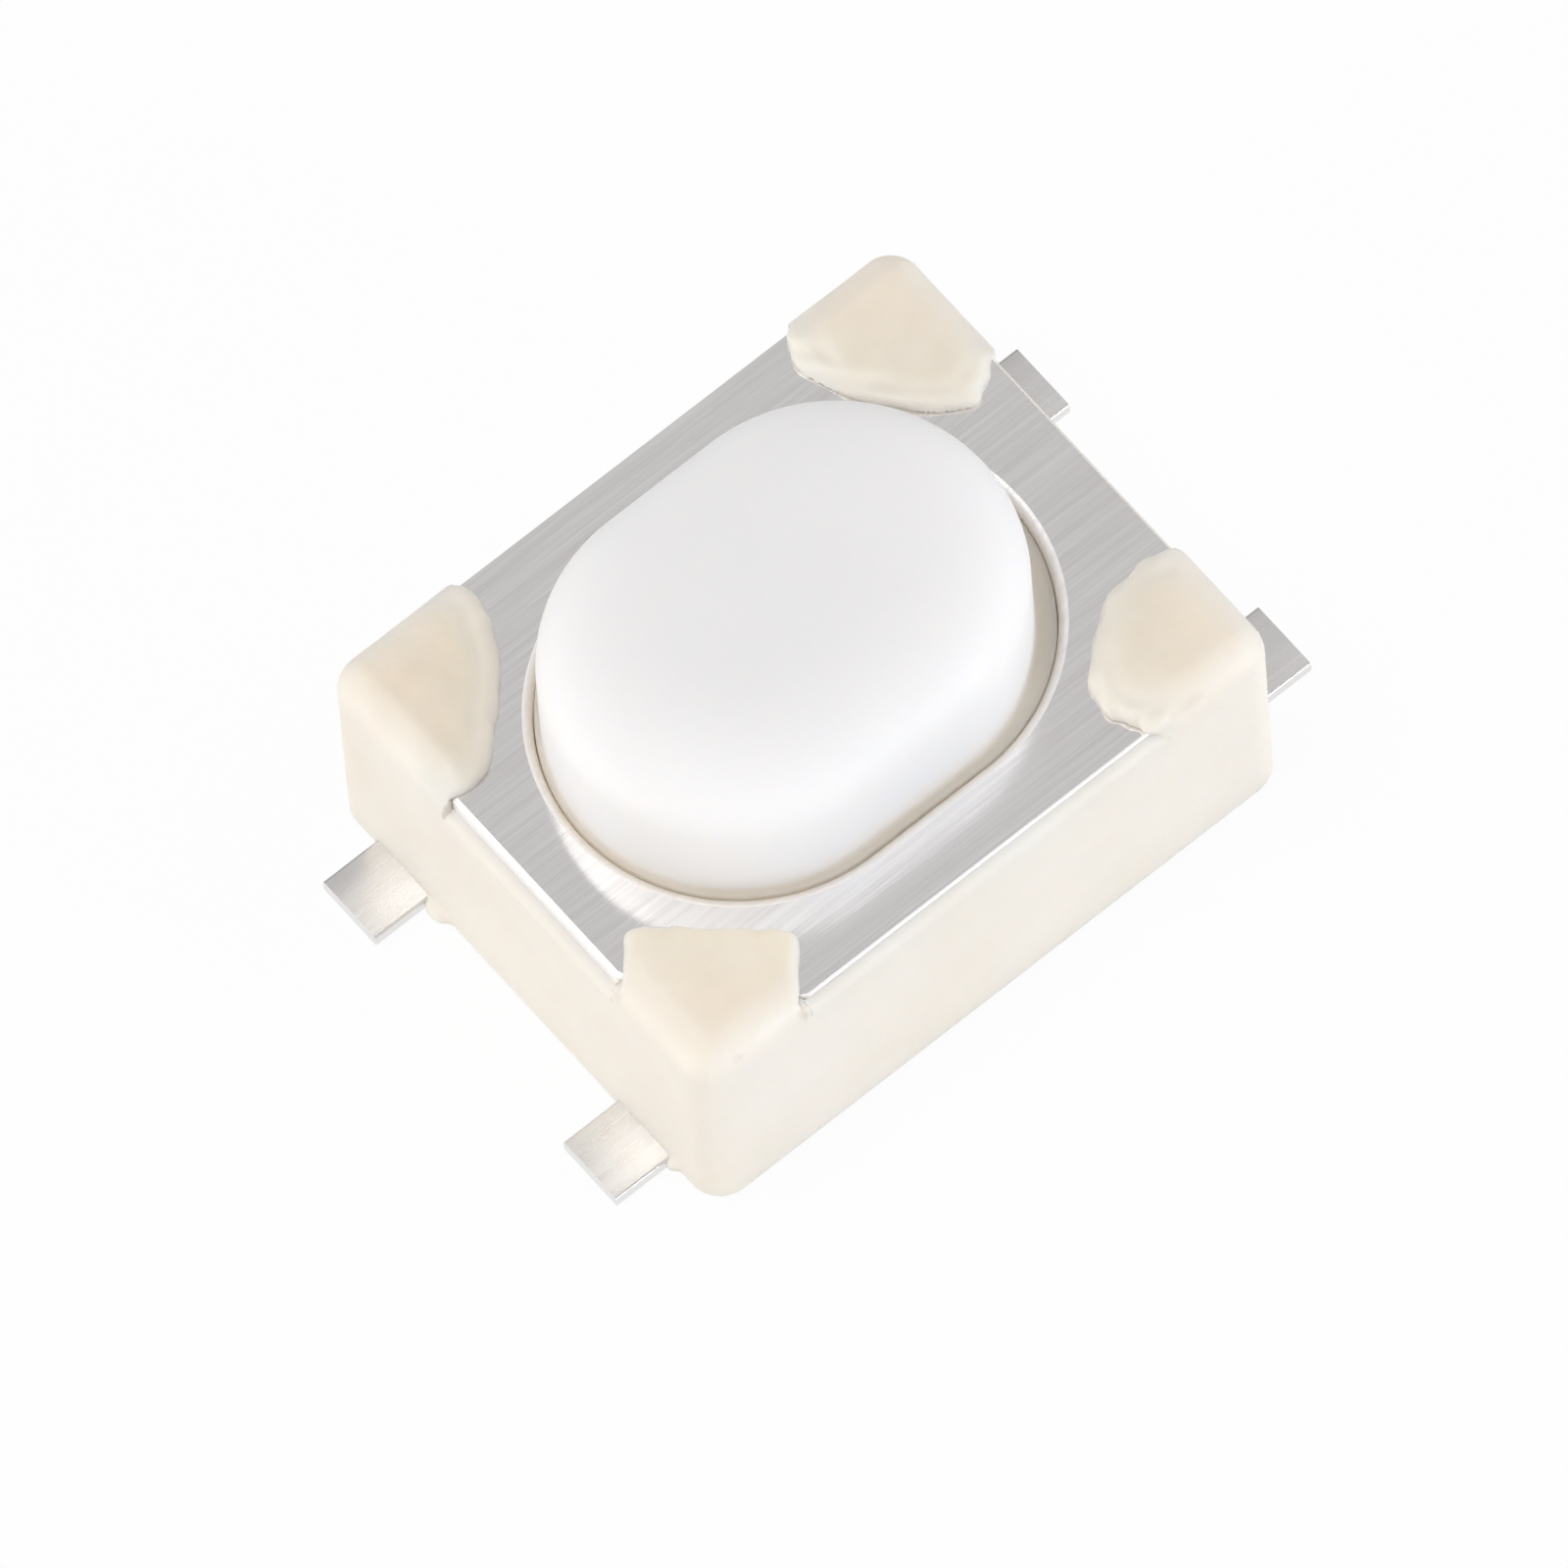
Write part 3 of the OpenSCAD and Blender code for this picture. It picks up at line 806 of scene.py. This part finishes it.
def make_dome():
    """Spherical cap of spring steel, in its rest shape; the real one flattens as the button goes down."""
    r, rise = DOME_HIGH[0], DOME_HIGH[2] - DOME_LOW[2]
    ball = (r * r + rise * rise) / (2 * rise)
    centre = DOME_HIGH[2] - ball
    rings = []
    n = 96
    outer_edge = math.asin(r / ball)
    inner_edge = math.acos((DOME_LOW[2] - centre) / (ball - DOME_T))
    for shell, edge, steps in ((ball - DOME_T, inner_edge, np.linspace(0.01, 1, 24)),
                               (ball, outer_edge, np.linspace(1, 0.01, 24))):
        for t in steps:
            a = edge * t
            ring = oval_ring(2 * shell * math.sin(a), 2 * shell * math.sin(a), 0, n)
            rings.append(np.column_stack([ring, np.full(n, centre + shell * math.cos(a))]))
    piece = mesh_object("snap_dome_cap", *stack_rings(rings), DOME_STEEL)
    dress(piece, "switch_body", "dome_steel", "snap_dome")
    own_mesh(piece)


# Leads

def strip_tree():
    """Geometry nodes of a bent strip: a side line with round bends, and an oblong section along it."""
    tree = bpy.data.node_groups.new("bent lead strip", "GeometryNodeTree")
    face = tree.interface
    face.new_socket("Geometry", in_out="INPUT", socket_type="NodeSocketGeometry")
    for name in ("Width", "Thickness", "Bend Radius", "Edge Radius"):
        face.new_socket(name, in_out="INPUT", socket_type="NodeSocketFloat")
    face.new_socket("Plating", in_out="INPUT", socket_type="NodeSocketMaterial")
    face.new_socket("Geometry", in_out="OUTPUT", socket_type="NodeSocketGeometry")
    link = tree.links.new
    given = tree.nodes.new("NodeGroupInput")
    result = tree.nodes.new("NodeGroupOutput")
    line = tree.nodes.new("GeometryNodeMeshToCurve")
    link(given.outputs["Geometry"], line.inputs["Mesh"])
    bend = tree.nodes.new("GeometryNodeFilletCurve")
    link(line.outputs["Curve"], bend.inputs["Curve"])
    link(given.outputs["Bend Radius"], bend.inputs["Radius"])
    section = tree.nodes.new("GeometryNodeCurvePrimitiveQuadrilateral")
    link(given.outputs["Width"], section.inputs["Width"])
    link(given.outputs["Thickness"], section.inputs["Height"])
    edge = tree.nodes.new("GeometryNodeFilletCurve")
    link(section.outputs["Curve"], edge.inputs["Curve"])
    link(given.outputs["Edge Radius"], edge.inputs["Radius"])
    for fillet, count in ((bend, 10), (edge, 4)):
        if "Mode" in fillet.inputs:
            fillet.inputs["Mode"].default_value = "Poly"
        else:
            fillet.mode = "POLY"
        fillet.inputs["Count"].default_value = count
    normal = tree.nodes.new("GeometryNodeSetCurveNormal")
    link(bend.outputs["Curve"], normal.inputs["Curve"])
    body = tree.nodes.new("GeometryNodeCurveToMesh")
    body.inputs["Fill Caps"].default_value = True
    link(normal.outputs["Curve"], body.inputs["Curve"])
    link(edge.outputs["Curve"], body.inputs["Profile Curve"])
    real = tree.nodes.new("GeometryNodeRealizeInstances")
    link(body.outputs["Mesh"], real.inputs["Geometry"])
    finish = tree.nodes.new("GeometryNodeSetMaterial")
    link(real.outputs["Geometry"], finish.inputs["Geometry"])
    link(given.outputs["Plating"], finish.inputs["Material"])
    link(finish.outputs["Geometry"], result.inputs["Geometry"])
    return tree


STRIP_TREE = strip_tree()


def bent_strip(name, side_line, width, place_y):
    """Strip along a line in the XZ plane, given in millimetres."""
    mesh = bpy.data.meshes.new(name)
    places = [(x * MM, place_y * MM, z * MM) for x, z in side_line]
    mesh.from_pydata(places, [(i, i + 1) for i in range(len(places) - 1)], [])
    piece = new_object(name, mesh)
    modifier = piece.modifiers.new("strip", "NODES")
    modifier.node_group = STRIP_TREE
    values = {"Width": width * MM, "Thickness": LEAD_T * MM, "Bend Radius": LEAD_BEND_R * MM,
              "Edge Radius": LEAD_EDGE_R * MM, "Plating": LEAD_SILVER}
    for socket in STRIP_TREE.interface.items_tree:
        if socket.in_out == "INPUT" and socket.name in values:
            modifier[socket.identifier] = values[socket.name]
    take_modifier(piece, modifier)
    return piece


def flat_plate(name, outline, low, high):
    """Plate from an outline, with softened edges."""
    outline = np.array(outline, float)
    rings = []
    for inset, z in ((PLATE_EDGE, low), (0, low + PLATE_EDGE), (0, high - PLATE_EDGE), (PLATE_EDGE, high)):
        ring = inset_outline(outline, inset)
        rings.append(np.column_stack([ring, np.full(len(ring), z)]))
    return mesh_object(name, *stack_rings(rings), LEAD_SILVER)


def rectangle(x0, y0, x1, y1):
    """Counter-clockwise corners."""
    return [(x0, y0), (x1, y0), (x1, y1), (x0, y1)]


def make_lead_frames():
    """Two frames: each strip rises from its two terminals to the floor under the dome."""
    low_z, high_z = LEAD_T / 2, FLOOR_Z - LEAD_T / 2
    side_line = [(LEAD_LOW[0], low_z), (-SLOPE_END, low_z), (-SLOPE_START, high_z),
                 (SLOPE_START, high_z), (SLOPE_END, low_z), (LEAD_HIGH[0], low_z)]
    floor = (FLOOR_Z - LEAD_T, FLOOR_Z)
    half_pitch = LEAD_PITCH / 2
    disc = oval_ring(CONTACT_D, CONTACT_D, 0, 48)
    centre = [bent_strip("centre_strip", side_line, LEAD_W, half_pitch),
              flat_plate("contact_disc", disc, *floor),
              flat_plate("tongue", rectangle(-TONGUE_W / 2, 0, TONGUE_W / 2, half_pitch), *floor)]
    arm_x = DOME_HIGH[0] - ARM_W / 2
    outer = [bent_strip("outer_strip", side_line, LEAD_W, -half_pitch)]
    for side in (-1, 1):
        x = side * arm_x
        arm = rectangle(x - ARM_W / 2, -half_pitch, x + ARM_W / 2, ARM_REACH)
        outer.append(flat_plate("arm", arm, *floor))
    for pieces, name, node in ((centre, "centre_lead_frame", "centre_contact"),
                               (outer, "outer_lead_frame", "outer_contact")):
        whole = join(pieces, name)
        whole.data.shade_smooth()
        whole.data.set_sharp_from_angle(angle=math.radians(35))
        dress(whole, "switch_body", "lead_plating", node)


# Stage, light and camera

def make_floor():
    """Pale floor: seen and mirrored it is nearly all plain white, and the rest takes the shadow."""
    size, white_share = 0.4, 0.94
    mesh = bpy.data.meshes.new("floor")
    corners = [(*corner, 0) for corner in rectangle(-size, -size, size, size)]
    mesh.from_pydata(corners, [], [(0, 1, 2, 3)])
    material, tree, shader = new_material("pale floor")
    set_inputs(shader, {"Base Color": (0.86, 0.86, 0.86, 1), "Roughness": 0.9, "Specular IOR Level": 0.0})
    glow = add(tree, "ShaderNodeEmission", {"Color": (1, 1, 1, 1), "Strength": 1.0})
    path = add(tree, "ShaderNodeLightPath")
    seen = path.outputs["Is Camera Ray"]
    for other in ("Is Glossy Ray", "Is Transmission Ray"):
        either = add(tree, "ShaderNodeMath", operation="MAXIMUM")
        tree.links.new(seen, either.inputs[0])
        tree.links.new(path.outputs[other], either.inputs[1])
        seen = either.outputs[0]
    share = add(tree, "ShaderNodeMath", {1: white_share}, operation="MULTIPLY")
    tree.links.new(seen, share.inputs[0])
    blend = add(tree, "ShaderNodeMixShader")
    tree.links.new(share.outputs[0], blend.inputs["Fac"])
    tree.links.new(shader.outputs["BSDF"], blend.inputs[1])
    tree.links.new(glow.outputs["Emission"], blend.inputs[2])
    tree.links.new(blend.outputs["Shader"], tree.nodes["Material Output"].inputs["Surface"])
    mesh.materials.append(material)
    floor = new_object("floor", mesh)


def make_world():
    """Light tent: bright low down, grey overhead where the flat steel mirrors it, and dimmer both behind
    the camera and behind the object."""
    world = bpy.data.worlds.new("studio")
    bpy.context.scene.world = world
    world.use_nodes = True
    tree = world.node_tree
    direction = add(tree, "ShaderNodeTexCoord")
    parts = add(tree, "ShaderNodeSeparateXYZ")
    tree.links.new(direction.outputs["Generated"], parts.inputs["Vector"])
    tent = ramp(tree, parts.outputs["Z"], [(0.0, (0.98, 0.97, 0.955)), (0.1, (0.98, 0.97, 0.955)),
                                           (0.42, (0.6, 0.588, 0.588)), (1.0, (0.6, 0.588, 0.588))])
    away = add(tree, "ShaderNodeVectorMath", {1: (0.57, 0.82, 0.0)}, operation="DOT_PRODUCT")
    tree.links.new(direction.outputs["Generated"], away.inputs[0])
    side = add(tree, "ShaderNodeMapRange", {"From Min": -1.0, "From Max": 1.0})
    tree.links.new(away.outputs["Value"], side.inputs["Value"])
    room = ramp(tree, side.outputs["Result"], [(0.1, (0.5, 0.5, 0.5)), (0.3, (1, 1, 1)), (0.775, (1, 1, 1)),
                                               (0.925, (0.42, 0.42, 0.42))])
    light = mix_colour(tree, 1.0, tent, room, "MULTIPLY")
    tree.links.new(light, tree.nodes["Background"].inputs["Color"])


LAMP_DISTANCE = 0.12


def make_lamp(name, azimuth, elevation, size, share, colour=(1, 1, 1)):
    """Soft square lamp; share is the light it gives a white surface that faces it, of 1 for pure white."""
    a, e = math.radians(azimuth), math.radians(elevation)
    direction = Vector((math.sin(a) * math.cos(e), -math.cos(a) * math.cos(e), math.sin(e)))
    light = bpy.data.lights.new(name, "AREA")
    light.shape = "SQUARE"
    light.size = size
    light.energy = share * math.pi ** 2 * LAMP_DISTANCE ** 2
    light.color = colour
    lamp = new_object(name, light)
    lamp.location = direction * LAMP_DISTANCE + Vector((0, 0, 1 * MM))
    lamp.rotation_euler = direction.to_track_quat("Z", "Y").to_euler()


# How the photograph was taken, found by fitting the housing's edges: the point of the part, in
# millimetres, that lies at a known pixel of the 1600-pixel frame, and three angles in degrees
PHOTO_SIZE = 1600
PIXELS_PER_MM = 185.5
AZIMUTH, ELEVATION, ROLL = -35.2, 65.0, -5.0
KNOWN_POINT = np.array([0.0, 0.0, 0.976])
KNOWN_PIXEL = (820.8, 725.0)
CAMERA_DISTANCE = 0.333


def make_camera():
    """Long lens, as the photograph shows hardly any perspective."""
    a, e, r = (math.radians(v) for v in (AZIMUTH, ELEVATION, ROLL))
    right = np.array([math.cos(a), math.sin(a), 0])
    back = np.array([math.sin(a) * math.cos(e), -math.cos(a) * math.cos(e), math.sin(e)])
    up = np.cross(back, right)
    image_right = math.cos(r) * right + math.sin(r) * up
    image_up = -math.sin(r) * right + math.cos(r) * up
    centre = PHOTO_SIZE / 2
    target = KNOWN_POINT + image_right * (centre - KNOWN_PIXEL[0]) / PIXELS_PER_MM
    target = target + image_up * (KNOWN_PIXEL[1] - centre) / PIXELS_PER_MM
    data = bpy.data.cameras.new("camera")
    field = PHOTO_SIZE / PIXELS_PER_MM * MM
    data.sensor_width = 36
    data.lens = data.sensor_width * CAMERA_DISTANCE / field
    data.clip_start, data.clip_end = 0.01, 10
    camera = new_object("camera", data)
    place = Vector(target * MM + back * CAMERA_DISTANCE)
    turn = Matrix((image_right, image_up, back)).transposed().to_4x4()
    camera.matrix_world = Matrix.Translation(place) @ turn
    bpy.context.scene.camera = camera


make_housing()
make_cover()
make_button()
make_dome()
make_lead_frames()

make_floor()
make_world()
make_lamp("front right softbox", 25, 7, 0.03, 0.4, (0.9, 0.94, 1.0))
make_lamp("left softbox", -90, 7, 0.03, 0.28, (1.0, 0.97, 0.92))
make_lamp("top softbox", -125, 72, 0.06, 0.33)
make_lamp("high right softbox", 70, 50, 0.05, 0.06)
make_camera()
bpy.context.scene.view_settings.view_transform = "Standard"
